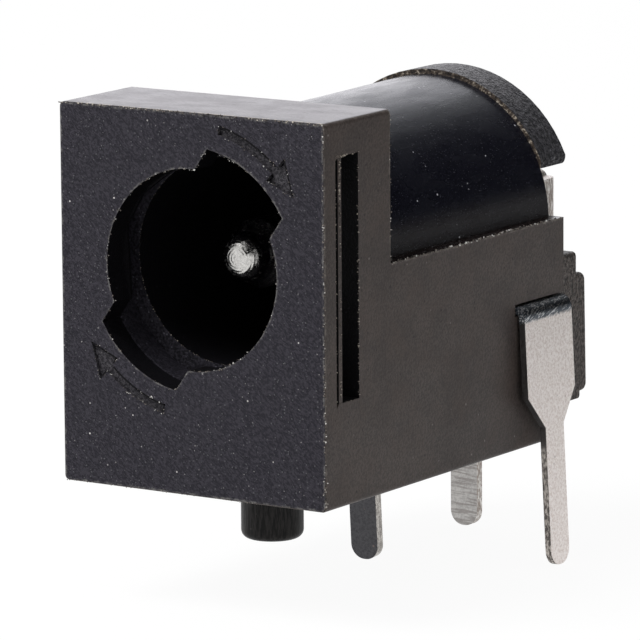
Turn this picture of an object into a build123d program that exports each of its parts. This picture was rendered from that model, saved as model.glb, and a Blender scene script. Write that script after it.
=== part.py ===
from build123d import *
import os

os.makedirs("parts", exist_ok=True)

# A right-angle power jack with a twist-lock mouth, for a circuit board, in millimetres.
# Depths run back from the front face, heights run up from the board, X runs across the front.
# The origin is on the locating peg's axis, in the board plane.

# Flange and block, their tops counted up from the axis
axis_height = 6.5
face_width = 9.0
face_rise = 4.5
flange_depth = 3.4
block_rise = 0.1
corner_radius = 0.15
face_edge = 0.05

# Socket: mouth, lock cavity and bore
mouth_radius = 2.9
mouth_wall = 0.87
mouth_rim = 0.1
rim_facets = (113, 139, 161, 204)
notch_width = 3.07
notch_reach = 3.55
notch_angle = 55
lock_radius = 3.5
lock_depth = 0.87
bore_radius = 3.0
bore_depth = 11.5
rear_wall = 1.35

# Barrel, and the hood that carries it on over the rear terminal
barrel_wall = 0.93
barrel_taper = 0.12
barrel_inset = 0.1
hood_step = 0.08
hood_rise = 0.07
hood_wall = 0.7
hood_length = 1.4
hood_foot = 1.5
hood_flat = 0.35
hood_corner = 0.2

# Stepped boss behind the block, and the post round the pin's tail
boss_inset = 0.3
boss_low = 0.9
boss_high = 5.35
boss_length = 1.42
boss_radius = 0.1
boss_edge = 0.15
heel_inset_low = 0.17
heel_inset_high = 0.67
heel_thickness = 0.48
heel_radius = 0.24
rear_draft = 0.1
post_radius = 1.9

# Locating peg, just in front of the spring's pocket
peg_radius = 0.91
peg_length = 1.92
peg_edge = 0.25
pocket_wall = 0.39

# Centre pin
pin_radius = 1.0
nose_radius = 0.7
nose_depth = 2.97
taper_length = 0.38
shoulder_radius = 1.6
shoulder_thickness = 0.6
tail_radius = 0.9
neck_step = 0.15
rivet_radius = 1.3
rivet_height = 0.35
rivet_edge = 0.25

# Solder legs
leg_reach = 3.5
leg_width = 0.93
tip_flat = 0.03

# Centre terminal
sheet = 0.3
channel_depth = 0.2
ear_span = 6.36
ear_length = 1.45
ear_rise = 0.95
ear_lift = 0.03
ear_bend = 0.25
plate_rise = 1.12
plate_lift = 0.07
plate_corner = 0.25
strip_width = 2.6
strip_low = 1.0

# Sleeve spring, its lengths counted forward from the end of the bore
spring_end_gap = 0.2
tip_length = 1.3
fall_length = 1.7
rise_length = 3.0
pocket_clearance = 0.25
seat_width = 3.0
seat_height = 0.65
seat_margin = 0.25
arm_width = 2.0
arm_thickness = 0.3
bend_gap = 0.3
bend_rise = 1.6
spring_bend = 0.5
crest_lift = 0.5
dip_drop = 0.15
contact_gap = 0.03
spring_leg_inset = 3.48
spring_leg_lean = 0.28

# Switch terminal
switch_sheet = 0.2
tab_lift = 0.7
tab_width = 1.9
tab_overhang = 0.9
blade_width = 2.64
blade_margin = 0.02
blade_gap = 0.07
fold_radius = 0.25
recess_depth = 0.15
recess_margin = 0.08
shoulder_height = 1.6
neck_height = 0.6
switch_leg_width = 1.02
switch_leg_offset = 0.08
switch_leg_lean = 0.4
switch_leg_reach = 3.57

# Clearance round an inserted piece
fit = 0.02

# Worked out from the sizes above
half_width = face_width / 2
face_height = axis_height + face_rise
block_height = axis_height + block_rise
block_depth = bore_depth + rear_wall
barrel_depth = block_depth - barrel_inset
barrel_front_radius = bore_radius + barrel_wall
barrel_rear_radius = barrel_front_radius + barrel_taper
hood_radius = barrel_rear_radius + hood_step
hood_depth = barrel_depth + hood_length
boss_depth = barrel_depth + boss_length
heel_depth = boss_depth + heel_thickness
heel_low = boss_low + heel_inset_low
heel_high = boss_high - heel_inset_high
bore_floor = axis_height - bore_radius
plate_depth = heel_depth - channel_depth
plate_rear = plate_depth + sheet
ear_middle = (ear_span - sheet) / 2
ear_low = boss_high + ear_lift
plate_low = heel_high + plate_lift
neck_radius = tail_radius - neck_step
spring_end = bore_depth - spring_end_gap
dip_depth = spring_end - tip_length
crest_depth = dip_depth - fall_length
pocket_front = crest_depth - rise_length
peg_setback = pocket_front - pocket_wall - peg_radius
base_height = seat_height - arm_thickness / 2
bend_front = pocket_front + bend_gap + arm_thickness / 2
spring_leg_depth = pocket_front + spring_leg_inset
tab_height = bore_floor + tab_lift
tab_floor = tab_height - switch_sheet / 2
blade_x = half_width + blade_gap + switch_sheet / 2
blade_depth = block_depth - blade_margin - blade_width / 2
switch_leg_depth = blade_depth + switch_leg_offset


def back(depth):
    """Y of a plane at a depth behind the front face."""
    return depth - peg_setback


def across(depth):
    """Upright plane at a depth behind the front face, seen from the front, with local axes X and Z."""
    return Plane(origin=(0, back(depth), 0), x_dir=(1, 0, 0), z_dir=(0, -1, 0))


socket_axis = Axis((0, 0, axis_height), (0, 1, 0))

# Housing, one moulding
with BuildPart() as housing:
    # Square flange with softened edges round its face
    with BuildSketch(across(0)):
        with Locations((0, face_height / 2)):
            RectangleRounded(face_width, face_height, corner_radius)
    extrude(amount=-flange_depth)
    fillet(housing.faces().sort_by(Axis.Y)[0].edges(), face_edge)

    # Block beside and under the barrel, flush with the flange
    with BuildSketch(across(flange_depth)) as block_outline:
        with Locations((0, block_height / 2)):
            Rectangle(face_width, block_height)
        fillet(block_outline.vertices().group_by(Axis.Y)[0], corner_radius)
    extrude(amount=-(block_depth - flange_depth))

    # Barrel, a little larger at the rear for draft
    with BuildSketch(Plane.YZ):
        with BuildLine():
            Polyline(
                (back(flange_depth), axis_height),
                (back(flange_depth), axis_height + barrel_front_radius),
                (back(barrel_depth), axis_height + barrel_rear_radius),
                (back(barrel_depth), axis_height),
                close=True,
            )
        make_face()
    revolve(axis=socket_axis)

    # Post that carries the pin's tail back to the rear terminal
    with BuildSketch(across(barrel_depth)):
        with Locations((0, axis_height)):
            Circle(post_radius)
    extrude(amount=-(plate_depth - barrel_depth))

    # Locating peg
    with BuildSketch(Plane.XY):
        Circle(peg_radius)
    extrude(amount=-peg_length)
    fillet(housing.edges().sort_by(Axis.Z)[0], peg_edge)

    # Mouth with its two bayonet notches
    with BuildSketch(across(0)):
        with Locations((0, axis_height)):
            Circle(notch_reach)
            Rectangle(
                2 * notch_reach, notch_width, rotation=notch_angle, mode=Mode.INTERSECT
            )
            Circle(mouth_radius)
    extrude(amount=-mouth_wall, mode=Mode.SUBTRACT)

    # Flat facets on the left of the mouth's rear rim
    with BuildSketch(across(mouth_wall - mouth_rim)):
        for start, end in zip(rim_facets, rim_facets[1:]):
            with BuildLine():
                facet = CenterArc((0, axis_height), mouth_radius, start, end - start)
                Line(facet @ 0, facet @ 1)
            make_face()
    extrude(amount=-mouth_rim)

    # Lock cavity behind the front wall, round on the left and open through the right side
    with BuildSketch(across(mouth_wall)):
        with Locations((0, axis_height)):
            Circle(lock_radius)
            Rectangle(face_width, 2 * lock_radius, align=(Align.MIN, Align.CENTER))
    extrude(amount=-lock_depth, mode=Mode.SUBTRACT)

    # Plug bore
    with BuildSketch(across(mouth_wall + lock_depth)):
        with Locations((0, axis_height)):
            Circle(bore_radius)
    extrude(amount=-(bore_depth - mouth_wall - lock_depth), mode=Mode.SUBTRACT)

    # Spring pocket from the underside into the bore, with a wider seat at its mouth
    with BuildSketch(Plane.XY):
        with Locations((0, back(pocket_front))):
            Rectangle(
                arm_width + 2 * pocket_clearance,
                bore_depth - pocket_front,
                align=(Align.CENTER, Align.MIN),
            )
    extrude(amount=axis_height, mode=Mode.SUBTRACT)
    with BuildSketch(Plane.XY):
        with Locations((0, back(pocket_front))):
            Rectangle(
                seat_width,
                spring_leg_inset + arm_thickness / 2 + seat_margin,
                align=(Align.CENTER, Align.MIN),
            )
    extrude(amount=seat_height, mode=Mode.SUBTRACT)

    # Slot for the switch tab, and a shallow recess round its fold in the right side
    with BuildSketch(Plane.XY.offset(tab_floor - fit)):
        with Locations((-tab_overhang - fit, back(blade_depth))):
            Rectangle(face_width, tab_width + 2 * fit, align=(Align.MIN, Align.CENTER))
    extrude(amount=switch_sheet + 2 * fit, mode=Mode.SUBTRACT)
    with BuildSketch(Plane.XY.offset(tab_floor - recess_margin)):
        with Locations((half_width - recess_depth, back(blade_depth))):
            Rectangle(
                face_width,
                blade_width + 2 * recess_margin,
                align=(Align.MIN, Align.CENTER),
            )
    extrude(amount=switch_sheet + 2 * recess_margin, mode=Mode.SUBTRACT)

# Stepped boss, a part of the housing's moulding
with BuildPart() as boss:
    # Profile from the side, its rear faces leaning back towards the board
    with BuildSketch(Plane.YZ) as boss_profile:
        with BuildLine():
            Polyline(
                (back(barrel_depth), boss_low),
                (back(boss_depth + rear_draft), boss_low),
                (back(boss_depth + rear_draft), heel_low),
                (back(heel_depth + rear_draft), heel_low),
                (back(heel_depth), heel_high),
                (back(boss_depth), heel_high),
                (back(boss_depth), boss_high),
                (back(barrel_depth), boss_high),
                close=True,
            )
        make_face()
        heel_corners = boss_profile.vertices().sort_by(Axis.X)[-2:]
        fillet(heel_corners, heel_radius)
        boss_corners = [
            boss_profile.vertices().group_by(Axis.Y)[0].sort_by(Axis.X)[-1],
            boss_profile.vertices().group_by(Axis.Y)[-1].sort_by(Axis.X)[-1],
        ]
        fillet(boss_corners, boss_radius)
    extrude(amount=half_width - boss_inset, both=True)

    # Softened edges along both sides of the two top faces
    top_faces = boss.faces().filter_by(Axis.Z).filter_by(lambda face: face.normal_at().Z > 0)
    fillet(top_faces.edges().filter_by(Axis.Y), boss_edge)

    # Channel for the rear terminal
    with BuildSketch(across(plate_depth)):
        with Locations((0, boss_low)):
            Rectangle(
                strip_width + 2 * fit,
                boss_high - boss_low,
                align=(Align.CENTER, Align.MIN),
            )
    extrude(amount=-face_width, mode=Mode.SUBTRACT)

# Hood, a part of the housing's moulding, cut off level at its two feet
with BuildPart() as hood:
    with BuildSketch(across(barrel_depth)):
        with Locations((0, axis_height + hood_rise)):
            Circle(hood_radius)
            Circle(hood_radius - hood_wall, mode=Mode.SUBTRACT)
        with Locations((0, axis_height + hood_foot)):
            Rectangle(
                2 * (hood_radius - hood_flat),
                2 * hood_radius,
                align=(Align.CENTER, Align.MIN),
                mode=Mode.INTERSECT,
            )
    extrude(amount=-hood_length)

    # Rounded rear corners of the feet
    foot_faces = hood.faces().filter_by(Axis.Z).group_by(Axis.Z)[0]
    fillet(foot_faces.edges().filter_by(Axis.X).group_by(Axis.Y)[-1], hood_corner)

with housing:
    add(boss.part)
    add(hood.part)

    # Hole for the pin's tail
    with BuildSketch(across(bore_depth)):
        with Locations((0, axis_height)):
            Circle(tail_radius + fit)
    extrude(amount=-(plate_depth - bore_depth), mode=Mode.SUBTRACT)

housing.part.label = "housing"
export_step(housing.part, "parts/housing.step")

# Centre pin, turned, with its tail riveted over the rear terminal
with BuildPart() as center_pin:
    with BuildSketch(Plane.YZ) as pin_profile:
        with BuildLine():
            nose = CenterArc((back(nose_depth), axis_height), nose_radius, 90, 90)
            Polyline(
                nose @ 0,
                (back(nose_depth + taper_length), axis_height + pin_radius),
                (back(bore_depth - shoulder_thickness), axis_height + pin_radius),
                (back(bore_depth - shoulder_thickness), axis_height + shoulder_radius),
                (back(bore_depth), axis_height + shoulder_radius),
                (back(bore_depth), axis_height + tail_radius),
                (back(plate_depth), axis_height + tail_radius),
                (back(plate_depth), axis_height + neck_radius),
                (back(plate_rear), axis_height + neck_radius),
                (back(plate_rear), axis_height + rivet_radius),
                (back(plate_rear + rivet_height), axis_height + rivet_radius),
                (back(plate_rear + rivet_height), axis_height),
                nose @ 1,
            )
        make_face()
        fillet(pin_profile.vertices().group_by(Axis.X)[-1].sort_by(Axis.Y)[-1], rivet_edge)
    revolve(axis=socket_axis)

center_pin.part.label = "center_pin"
export_step(center_pin.part, "parts/center_pin.step")

# Centre terminal, one sheet: plate, strip and leg, with two ears folded forward
with BuildPart() as center_terminal:
    # Ears and the middle of the plate between them, seen from above
    with BuildSketch(Plane.XY.offset(ear_low)):
        with BuildLine():
            FilletPolyline(
                (-ear_middle, back(plate_rear - ear_length)),
                (-ear_middle, back(plate_depth + sheet / 2)),
                (ear_middle, back(plate_depth + sheet / 2)),
                (ear_middle, back(plate_rear - ear_length)),
                radius=ear_bend,
            )
        trace(line_width=sheet)
    extrude(amount=axis_height + ear_rise - ear_low)

    # Plate, strip and leg, seen from the front
    with BuildSketch(across(plate_depth)) as plate_outline:
        with Locations((0, plate_low)):
            Rectangle(
                2 * (ear_middle - ear_bend),
                axis_height + plate_rise - plate_low,
                align=(Align.CENTER, Align.MIN),
            )
        fillet(plate_outline.vertices(), plate_corner)
        with Locations((0, strip_low)):
            Rectangle(strip_width, axis_height - strip_low, align=(Align.CENTER, Align.MIN))
        fillet(plate_outline.vertices().group_by(Axis.Y)[0], plate_corner)
        with Locations((0, strip_low + plate_corner)):
            Rectangle(
                leg_width,
                strip_low + plate_corner + leg_reach,
                align=(Align.CENTER, Align.MAX),
            )
        fillet(plate_outline.vertices().group_by(Axis.Y)[0], leg_width / 2 - tip_flat)
    extrude(amount=-sheet)

    # Hole for the pin's neck
    with BuildSketch(across(plate_depth)):
        with Locations((0, axis_height)):
            Circle(neck_radius + fit)
    extrude(amount=-sheet, mode=Mode.SUBTRACT)

center_terminal.part.label = "center_terminal"
export_step(center_terminal.part, "parts/center_terminal.step")

# Sleeve spring, one strip: base, bend, contact arm and leg
with BuildPart() as sleeve_spring:
    # Arm that springs up into the bore and back under the switch tab
    with BuildSketch(Plane.YZ):
        with BuildLine():
            FilletPolyline(
                (back(spring_leg_depth - spring_bend), base_height),
                (back(bend_front), base_height),
                (back(bend_front), base_height + bend_rise),
                (back(crest_depth), bore_floor + crest_lift),
                (back(dip_depth), bore_floor - dip_drop),
                (back(spring_end), tab_floor - contact_gap - arm_thickness / 2),
                radius=spring_bend,
            )
        trace(line_width=arm_thickness)
    extrude(amount=arm_width / 2, both=True)

    # Base plate in its seat
    with BuildSketch(Plane.XY.offset(seat_height - arm_thickness)):
        with Locations((0, back(bend_front + spring_bend))):
            Rectangle(
                seat_width - 2 * fit,
                spring_leg_depth - bend_front - 2 * spring_bend,
                align=(Align.CENTER, Align.MIN),
            )
    extrude(amount=arm_thickness)

    # Leg folded down from the base
    with BuildSketch(Plane.YZ):
        with BuildLine():
            FilletPolyline(
                (back(spring_leg_depth - 2 * spring_bend), base_height),
                (back(spring_leg_depth), base_height),
                (back(spring_leg_depth + spring_leg_lean), -leg_reach),
                radius=arm_thickness,
            )
        trace(line_width=arm_thickness)
    extrude(amount=leg_width / 2, both=True)
    tip_corners = sleeve_spring.faces().sort_by(Axis.Z)[0].edges().filter_by(Axis.X, reverse=True)
    fillet(tip_corners, leg_width / 2 - tip_flat)

sleeve_spring.part.label = "sleeve_spring"
export_step(sleeve_spring.part, "parts/sleeve_spring.step")

# Switch terminal, one sheet: tab inside, blade and leg folded down outside the right wall
with BuildPart() as switch_terminal:
    blade_front = back(blade_depth - blade_width / 2)
    blade_rear = back(blade_depth + blade_width / 2)
    leg_front = back(switch_leg_depth - switch_leg_width / 2)
    leg_rear = back(switch_leg_depth + switch_leg_width / 2)
    # Fold seen from the front
    with BuildSketch(across(blade_depth - blade_width / 2)):
        with BuildLine():
            FilletPolyline(
                (-tab_overhang, tab_height),
                (blade_x, tab_height),
                (blade_x + switch_leg_lean, -switch_leg_reach),
                radius=fold_radius,
            )
        trace(line_width=switch_sheet)
    extrude(amount=-blade_width)

    # Outline of blade and leg, seen from the side
    with BuildSketch(Plane.YZ.offset(-tab_overhang)) as blade_outline:
        with BuildLine():
            Polyline(
                (blade_front, tab_height + switch_sheet),
                (blade_front, shoulder_height),
                (leg_front, neck_height),
                (leg_front, -switch_leg_reach),
                (leg_rear, -switch_leg_reach),
                (leg_rear, neck_height),
                (blade_rear, shoulder_height),
                (blade_rear, tab_height + switch_sheet),
                close=True,
            )
        make_face()
        fillet(blade_outline.vertices().group_by(Axis.Y)[0], switch_leg_width / 2 - tip_flat)
    extrude(
        amount=tab_overhang + blade_x + switch_leg_lean + switch_sheet, mode=Mode.INTERSECT
    )

    # Outline from above: the tab is narrower where it enters the wall
    with BuildSketch(Plane.XY.offset(-switch_leg_reach)):
        with Locations((-tab_overhang, back(blade_depth))):
            Rectangle(face_width, tab_width, align=(Align.MIN, Align.CENTER))
        with Locations((half_width - recess_depth + fit, back(blade_depth))):
            Rectangle(face_width, blade_width, align=(Align.MIN, Align.CENTER))
    extrude(amount=switch_leg_reach + tab_height + switch_sheet, mode=Mode.INTERSECT)

switch_terminal.part.label = "switch_terminal"
export_step(switch_terminal.part, "parts/switch_terminal.step")
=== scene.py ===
import math
import random
from collections import namedtuple

import bmesh
import bpy
from mathutils import Matrix, Vector


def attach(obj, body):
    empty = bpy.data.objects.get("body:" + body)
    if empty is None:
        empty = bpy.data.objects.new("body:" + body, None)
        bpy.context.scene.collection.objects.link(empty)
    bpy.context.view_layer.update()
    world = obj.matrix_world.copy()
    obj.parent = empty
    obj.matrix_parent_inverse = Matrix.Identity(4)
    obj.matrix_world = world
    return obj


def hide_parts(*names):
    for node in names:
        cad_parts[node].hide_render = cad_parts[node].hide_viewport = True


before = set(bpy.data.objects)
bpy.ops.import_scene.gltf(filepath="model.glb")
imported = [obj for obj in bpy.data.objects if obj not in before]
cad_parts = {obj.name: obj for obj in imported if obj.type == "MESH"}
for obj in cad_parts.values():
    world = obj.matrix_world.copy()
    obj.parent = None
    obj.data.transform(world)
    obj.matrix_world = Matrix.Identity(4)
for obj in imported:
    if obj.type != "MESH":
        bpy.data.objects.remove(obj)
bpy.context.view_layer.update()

# One millimetre in metres. Lengths are in millimetres, except where a comment says metres.
MM = 0.001
UP = Vector((0, 0, 1))
X_AXIS, Y_AXIS = 0, 1

# Camera, fitted to the photograph; the near limit is in metres
CAMERA_AZIMUTH = math.radians(33.404)
CAMERA_ELEVATION = math.radians(10.279)
CAMERA_ROLL = math.radians(-0.422)
CAMERA_PLACE = Vector((96.655, -143.984, 35.899)) * MM
CAMERA_LENS = 344.4
CAMERA_SENSOR = 36
CAMERA_NEAR = 0.01

# Surroundings: white all round, and a floor at the tips of the legs, in metres
WORLD_LIGHT = 0.55
FLOOR_HEIGHT = -3.57 * MM
FLOOR_SIZE = 1.2
FLOOR_COLOUR = (0.9, 0.9, 0.9, 1)
FLOOR_GLOW = 0.94
WHITE = (1, 1, 1, 1)
BLACK = (0, 0, 0, 1)

# Places on the housing, the same as in its source
AXIS = 6.5
FACE_HALF = 4.5
FACE_TOP = 11.0
FACE_FRONT = -4.0
FLANGE_REAR = -0.6
MOUTH_RADIUS = 2.9
NOTCH_REACH = 3.55
NOTCH_HALF = 1.535
NOTCH_ANGLE = math.radians(55)
SLOT_FRONT = -3.13
SLOT_REAR = -2.26
SLOT_LOW = 3.0
SLOT_HIGH = 10.0
BARREL_RADIUS = 3.93
BARREL_END = 8.75
BLOCK_TOP = 6.6
BORE_END = 7.5

# Height of the switch terminal's outer bend, and the pin's nose
SWITCH_FOLD = 3.93
NOSE_RADIUS = 0.7
NOSE_MIDDLE = -1.03
NOSE_POWER = 3.0

# Two arrows sunk into the face, half a turn apart
ARROW_TURNS = (0, math.pi)
ARROW_START = math.radians(76.5)
ARROW_NECK = math.radians(47.2)
ARROW_TIP = math.radians(33.9)
ARROW_INNER = 4.05
ARROW_OUTER = 4.33
ARROW_BARB_INNER = 3.77
ARROW_BARB_OUTER = 4.70
ARROW_POINT = 4.21
ARROW_DEPTH = 0.12
ARROW_STEPS = 14

# Dark slivers in the arrows, a painted shadow of their upper and right edges: their width, and how far
# their front lies below the face
SHADOW_SLIVER_WIDTH = 0.058
SHADOW_SLIVER_LID = 0.006

# Way that the edges beside slivers look, the least agreement with it, and the straightness of a run
SHADOW_SLIVER_SIDE = Vector((0.8, 0.6))
SHADOW_SLIVER_LEAST = -0.25
SHADOW_SLIVER_STRAIGHT = 0.9

# Groove beside the lock slot in the right side, as depth and height
GROOVE_FRONT = -3.42
GROOVE_OUTLINE = [(GROOVE_FRONT, 2.86), (-3.31, 3.0), (-3.3, 9.94), (GROOVE_FRONT, 9.94)]
GROOVE_DEPTH = 0.12
CUTTER_OVERHANG = 0.2

# Tolerances for the places by which the housing's faces are sorted
HAIR = 0.01
NEAR = 0.02
MARGIN = 0.05
STEP = 0.1
WIDE = 0.2

# Least part of a normal along an axis for a face to look that way, to lie level, and to be shaded flat
SQUARE = 0.9
LEVEL = 0.95
FLAT = 0.9999

# Points closer than this, in metres, are joined, and edges sharper than this angle stay sharp
WELD_REACH = 1e-7
SHARP_ANGLE = math.radians(35)

# Line of torn grains: its points, their step, their largest half width, their stray, and the share kept
Seam = namedtuple("Seam", "points step size stray share")

# Range of a grain's widths as a share of its size, and of its lumps as a share of its width
GRAIN_SIZES = (0.4, 1.0)
GRAIN_LUMPS = (0.7, 1.1)

# Distances across of the seams by the right side, steps in a seam over the barrel, and a least divisor
SEAM_SIDE = 4.49
SEAM_CORNER = 4.48
BARREL_STEPS = 60
TINY = 1e-6

# Sockets of the Mix node for colours
MIX_FIRST, MIX_SECOND, MIX_RESULT = 6, 7, 2

# Soft rim of a speck as a share of its radius, and the range in which nearly all of a noise lies
SPECK_RIM = 0.6
NOISE_LOW, NOISE_HIGH = 0.3, 0.7

# Turned rings on the pin: how close together, and how uneven
RING_SCALE = 3.2
RING_WARP = 1.2


def add_object(name, data):
    """New object for this data, in the scene."""
    item = bpy.data.objects.new(name, data)
    bpy.context.scene.collection.objects.link(item)
    return item


def aim(item, place, target, axis):
    """Puts an object at a place with one of its axes towards a target, both in metres."""
    item.location = place
    item.rotation_euler = (Vector(target) - Vector(place)).to_track_quat(axis, "Y").to_euler()


def add_camera():
    """Camera that looks from the photograph's place, set by its three view angles."""
    back = Vector((
        math.sin(CAMERA_AZIMUTH) * math.cos(CAMERA_ELEVATION),
        -math.cos(CAMERA_AZIMUTH) * math.cos(CAMERA_ELEVATION),
        math.sin(CAMERA_ELEVATION),
    ))
    level = (-back).cross(UP).normalized()
    up = back.cross(level)
    turn = Matrix.Rotation(CAMERA_ROLL, 3, back)
    data = bpy.data.cameras.new("camera")
    data.lens = CAMERA_LENS
    data.sensor_width = CAMERA_SENSOR
    data.clip_start = CAMERA_NEAR
    camera = add_object("camera", data)
    place = Matrix((turn @ level, turn @ up, back)).transposed().to_4x4()
    place.translation = CAMERA_PLACE
    camera.matrix_world = place
    bpy.context.scene.camera = camera


def add_area_light(name, place, target, size, power, colour):
    """Square soft lamp that shines from a place towards a target, with all lengths in metres."""
    data = bpy.data.lights.new(name, "AREA")
    data.shape = "SQUARE"
    data.size = size
    data.energy = power
    data.color = colour
    aim(add_object(name, data), place, target, "-Z")


def add_background_rays(nodes, links):
    """Output that is 1 for camera, glossy and transmission rays, and 0 for the others."""
    path = nodes.new("ShaderNodeLightPath")
    seen = path.outputs["Is Camera Ray"]
    for name in ("Is Glossy Ray", "Is Transmission Ray"):
        either = nodes.new("ShaderNodeMath")
        either.operation = "MAXIMUM"
        links.new(seen, either.inputs[0])
        links.new(path.outputs[name], either.inputs[1])
        seen = either.outputs[0]
    return seen


def add_world():
    """Surroundings that light the object softly and look white to the camera and in reflections."""
    world = bpy.data.worlds.new("world")
    world.use_nodes = True
    nodes = world.node_tree.nodes
    links = world.node_tree.links
    background = nodes["Background"]
    background.inputs["Color"].default_value = WHITE
    strength = nodes.new("ShaderNodeMapRange")
    strength.inputs["To Min"].default_value = WORLD_LIGHT
    strength.inputs["To Max"].default_value = 1
    links.new(add_background_rays(nodes, links), strength.inputs["Value"])
    links.new(strength.outputs["Result"], background.inputs["Strength"])
    bpy.context.scene.world = world


def empty_material(name):
    """New material without nodes, with its nodes and links."""
    material = bpy.data.materials.new(name)
    material.use_nodes = True
    nodes = material.node_tree.nodes
    nodes.clear()
    return material, nodes, material.node_tree.links


def show_mix(nodes, links, share, first, second):
    """Ends a material with the mix of two shaders."""
    both = nodes.new("ShaderNodeMixShader")
    for socket, source in zip(both.inputs, (share, first.outputs[0], second.outputs[0])):
        links.new(source, socket)
    output = nodes.new("ShaderNodeOutputMaterial")
    links.new(both.outputs[0], output.inputs["Surface"])


def add_card(name, place, target, width, height, material):
    """Flat card that faces a target, with all lengths in metres."""
    data = bpy.data.meshes.new(name)
    right, top = width / 2, height / 2
    corners = [(-right, -top, 0), (right, -top, 0), (right, top, 0), (-right, top, 0)]
    data.from_pydata(corners, [], [(0, 1, 2, 3)])
    data.materials.append(material)
    card = add_object(name, data)
    aim(card, place, target, "Z")
    return card


def add_dark_card(name, place, target, width, height, fade, darkness):
    """Dark card that only reflections see; its left end fades in over a share of its width."""
    material, nodes, links = empty_material(name)
    source = nodes.new("ShaderNodeTexCoord")
    split = nodes.new("ShaderNodeSeparateXYZ")
    links.new(source.outputs["Generated"], split.inputs[0])
    share = nodes.new("ShaderNodeMapRange")
    share.interpolation_type = "SMOOTHSTEP"
    share.inputs["From Min"].default_value = 0
    share.inputs["From Max"].default_value = fade
    share.inputs["To Max"].default_value = darkness
    links.new(split.outputs["X"], share.inputs["Value"])
    clear = nodes.new("ShaderNodeBsdfTransparent")
    black = nodes.new("ShaderNodeEmission")
    black.inputs["Color"].default_value = BLACK
    show_mix(nodes, links, share.outputs[0], clear, black)
    card = add_card(name, place, target, width, height, material)
    card.visible_camera = False
    card.visible_diffuse = False
    card.visible_transmission = False
    card.visible_shadow = False


def add_floor():
    """White floor that keeps a faint shadow of the object."""
    material, nodes, links = empty_material("floor")
    matte = nodes.new("ShaderNodeBsdfDiffuse")
    matte.inputs["Color"].default_value = FLOOR_COLOUR
    glow = nodes.new("ShaderNodeEmission")
    share = nodes.new("ShaderNodeMath")
    share.operation = "MULTIPLY"
    share.inputs[1].default_value = FLOOR_GLOW
    links.new(add_background_rays(nodes, links), share.inputs[0])
    show_mix(nodes, links, share.outputs[0], matte, glow)
    add_card("floor", (0, 0, FLOOR_HEIGHT), (0, 0, 1), FLOOR_SIZE, FLOOR_SIZE, material)


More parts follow.
